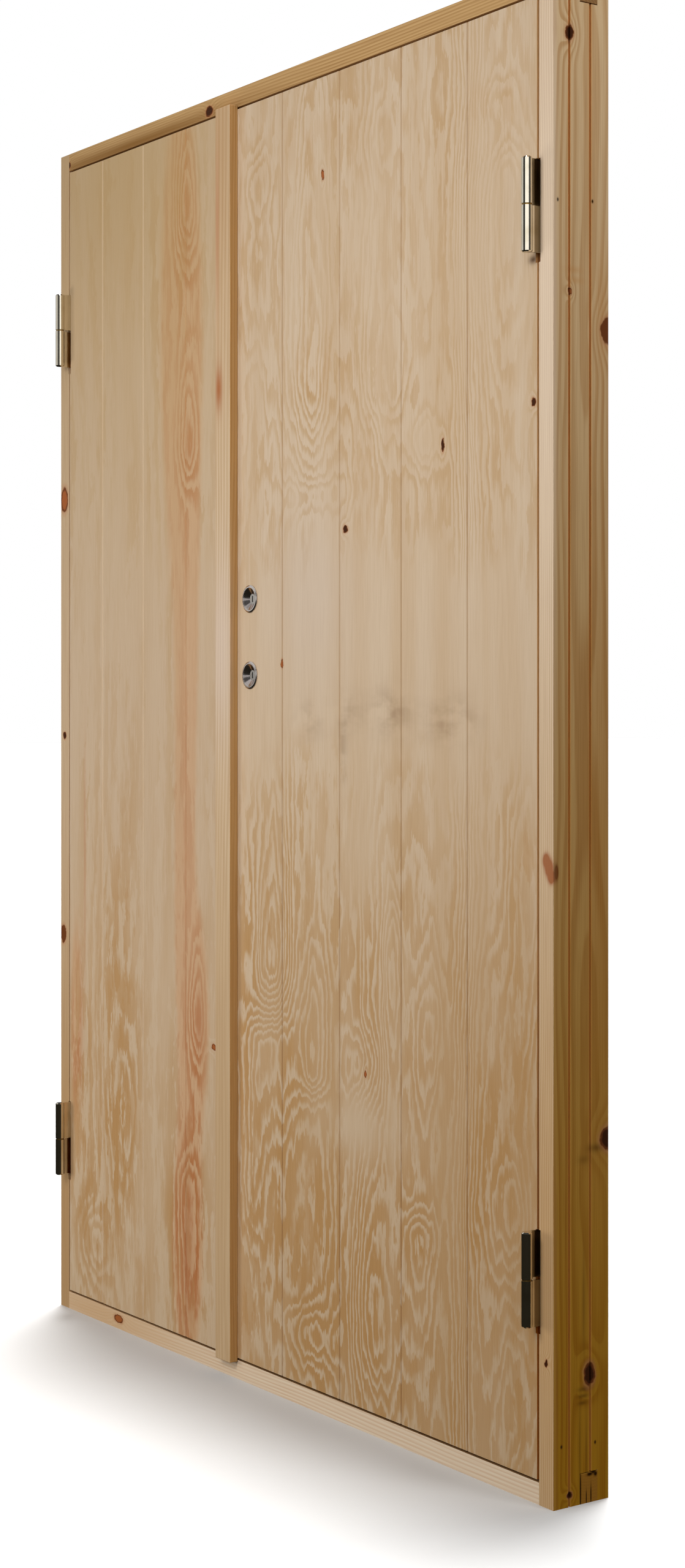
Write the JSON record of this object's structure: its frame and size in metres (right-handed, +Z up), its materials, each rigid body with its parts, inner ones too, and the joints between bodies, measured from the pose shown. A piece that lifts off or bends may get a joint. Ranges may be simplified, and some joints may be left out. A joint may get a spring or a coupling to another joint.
{
  "type": "barn door",
  "caption": "Outward-opening timber door in its frame: a narrow passive leaf and a wide active leaf faced with grooved plywood, lift-off hinges, cover strip and keyed dead bolts.",
  "frame": {"origin": "middle of the sill's underside, halfway through the frame's depth", "axes": "+X to the right seen from the front, +Y into the doorway from the front, +Z up"},
  "size_m": [1.19, 0.1077, 1.79],
  "materials": {
    "frame_pine": "planed, unpainted",
    "strip_pine": "planed, unpainted",
    "leaf_plywood": "sanded rotary-cut pine plywood, unpainted",
    "back_plywood": "sanded pine plywood, unpainted",
    "core_pine": "sawn, unpainted",
    "insulation": "light insulation board",
    "seal_rubber": "soft half-round seal",
    "hinge_steel": "bright zinc plated",
    "pin_steel": "ground",
    "washer_brass": "turned",
    "screw_zinc": "zinc plated",
    "lock_steel": "dark enamel",
    "plate_steel": "zinc plated",
    "bolt_steel": "nickel plated",
    "ring_chrome": "polished",
    "cylinder_steel": "satin nickel"
  },
  "bodies": {
    "frame": {"jamb_left": "frame_pine", "jamb_right": "frame_pine", "head": "frame_pine", "sill": "frame_pine", "seal_left": "seal_rubber", "seal_right": "seal_rubber", "seal_head": "seal_rubber", "seal_sill": "seal_rubber", "left_lower_hinge_frame": "hinge_steel", "left_lower_hinge_pin": "pin_steel", "left_upper_hinge_frame": "hinge_steel", "left_upper_hinge_pin": "pin_steel", "right_lower_hinge_frame": "hinge_steel", "right_lower_hinge_pin": "pin_steel", "right_upper_hinge_frame": "hinge_steel", "right_upper_hinge_pin": "pin_steel", "hinge_washers": "washer_brass", "frame_screws": "screw_zinc", "top_keep": "plate_steel", "bottom_keep": "plate_steel"},
    "left_leaf": {"left_front_panel": "leaf_plywood", "left_back_panel": "back_plywood", "left_hinge_stile": "core_pine", "left_meeting_stile": "core_pine", "left_top_rail": "core_pine", "left_mid_rail": "core_pine", "left_bottom_rail": "core_pine", "left_infill": "insulation", "left_lower_hinge_leaf": "hinge_steel", "left_upper_hinge_leaf": "hinge_steel", "left_leaf_screws": "screw_zinc", "strike_plate": "plate_steel", "top_bolt_plate": "plate_steel", "bottom_bolt_plate": "plate_steel"},
    "right_leaf": {"right_front_panel": "leaf_plywood", "right_back_panel": "back_plywood", "right_hinge_stile": "core_pine", "right_meeting_stile": "core_pine", "right_top_rail": "core_pine", "right_mid_rail": "core_pine", "right_bottom_rail": "core_pine", "right_infill": "insulation", "cover_strip": "strip_pine", "right_lower_hinge_leaf": "hinge_steel", "right_upper_hinge_leaf": "hinge_steel", "right_leaf_screws": "screw_zinc", "lock_case": "lock_steel", "lock_faceplate": "plate_steel", "upper_ring": "ring_chrome", "lower_ring": "ring_chrome", "upper_cylinder": "cylinder_steel", "lower_cylinder": "cylinder_steel"},
    "upper_plug": {"upper_plug": "cylinder_steel"},
    "lower_plug": {"lower_plug": "cylinder_steel"},
    "upper_bolt": {"upper_bolt": "bolt_steel"},
    "lower_bolt": {"lower_bolt": "bolt_steel"},
    "top_edge_bolt": {"top_edge_bolt": "bolt_steel"},
    "bottom_edge_bolt": {"bottom_edge_bolt": "bolt_steel"}
  },
  "joints": [
    {"name": "left_leaf_hinge", "type": "hinge", "parent": "frame", "child": "left_leaf", "pos_m": [-0.5675, -0.059, 0.89], "axis": [0, 0, -1], "range_deg": [0, 170]},
    {"name": "right_leaf_hinge", "type": "hinge", "parent": "frame", "child": "right_leaf", "pos_m": [0.5675, -0.059, 0.89], "axis": [0, 0, 1], "range_deg": [0, 170]},
    {"name": "upper_plug_turn", "type": "hinge", "parent": "right_leaf", "child": "upper_plug", "pos_m": [-0.051, -0.045, 1.0805], "axis": [0, -1, 0], "range_deg": [0, 90]},
    {"name": "upper_bolt_slide", "type": "slide", "parent": "right_leaf", "child": "upper_bolt", "axis": [-1, 0, 0], "range_m": [0, 0.018]},
    {"name": "lower_plug_turn", "type": "hinge", "parent": "right_leaf", "child": "lower_plug", "pos_m": [-0.051, -0.045, 0.9755], "axis": [0, -1, 0], "range_deg": [0, 90]},
    {"name": "lower_bolt_slide", "type": "slide", "parent": "right_leaf", "child": "lower_bolt", "axis": [-1, 0, 0], "range_m": [0, 0.018]},
    {"name": "top_edge_bolt_slide", "type": "slide", "parent": "left_leaf", "child": "top_edge_bolt", "axis": [0, 0, 1], "range_m": [0, 0.015]},
    {"name": "bottom_edge_bolt_slide", "type": "slide", "parent": "left_leaf", "child": "bottom_edge_bolt", "axis": [0, 0, -1], "range_m": [0, 0.015]}
  ],
  "couplings": [
    {"joint": "upper_plug_turn", "follows": "upper_bolt_slide", "rad_per_m": 87.266},
    {"joint": "lower_plug_turn", "follows": "lower_bolt_slide", "rad_per_m": 87.266}
  ]
}
